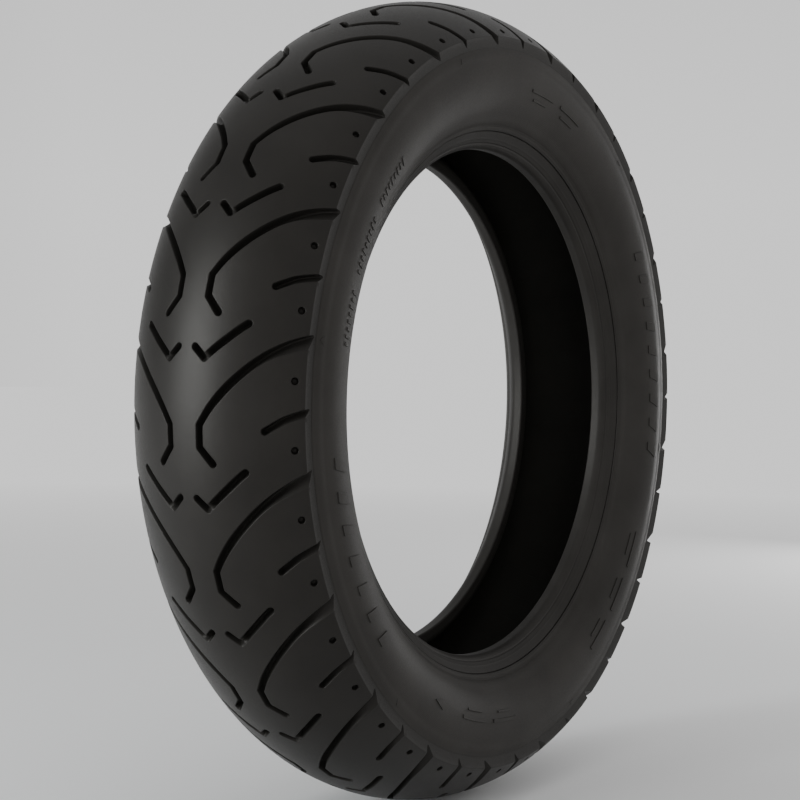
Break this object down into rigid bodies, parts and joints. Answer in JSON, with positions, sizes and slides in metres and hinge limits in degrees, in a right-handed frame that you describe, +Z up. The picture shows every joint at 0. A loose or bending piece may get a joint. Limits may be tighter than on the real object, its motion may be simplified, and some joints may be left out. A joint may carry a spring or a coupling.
{
  "type": "motorcycle tire",
  "caption": "Rear motorcycle tire standing upright: round crown tread with sweeping grooves, check-mark sipes and shoulder dimples, smooth sidewalls, open bead.",
  "frame": {"origin": "centre of the wheel plane on the spin axis", "axes": "+Y along the spin axis towards the left side, +X forwards, +Z up"},
  "size_m": [0.642, 0.1544, 0.642],
  "materials": {
    "tread_rubber": "matt carbon-black tread rubber with a faint mould sheen",
    "sidewall_rubber": "satin carbon-black sidewall rubber",
    "rim_rubber": "hard satin black rubber",
    "liner_rubber": "smooth halobutyl rubber, slightly shiny",
    "base_rubber": "plain dark brown-black rubber",
    "gum_rubber": "plain dark gum rubber",
    "breaker_cord": "rubberised cord, straw coloured",
    "ply_cord": "rubberised nylon cord",
    "chafer_cloth": "rubberised square-woven cloth",
    "wrap_tape": "rubberised tape",
    "bead_wire": "bronze-coated steel wire"
  },
  "bodies": {
    "root": {"tread_cap": "tread_rubber", "tread_base": "base_rubber", "breaker_outer": "breaker_cord", "breaker_inner": "breaker_cord", "carcass_ply_outer": "ply_cord", "carcass_ply_inner": "ply_cord", "inner_liner": "liner_rubber", "shoulder_cushion_left": "gum_rubber", "sidewall_left": "sidewall_rubber", "bead_apex_left": "gum_rubber", "chafer_left": "chafer_cloth", "rim_strip_left": "rim_rubber", "bead_core_left": "bead_wire", "bead_gum_left": "gum_rubber", "bead_wrap_left": "wrap_tape", "shoulder_cushion_right": "gum_rubber", "sidewall_right": "sidewall_rubber", "bead_apex_right": "gum_rubber", "chafer_right": "chafer_cloth", "rim_strip_right": "rim_rubber", "bead_core_right": "bead_wire", "bead_gum_right": "gum_rubber", "bead_wrap_right": "wrap_tape"}
  },
  "joints": []
}
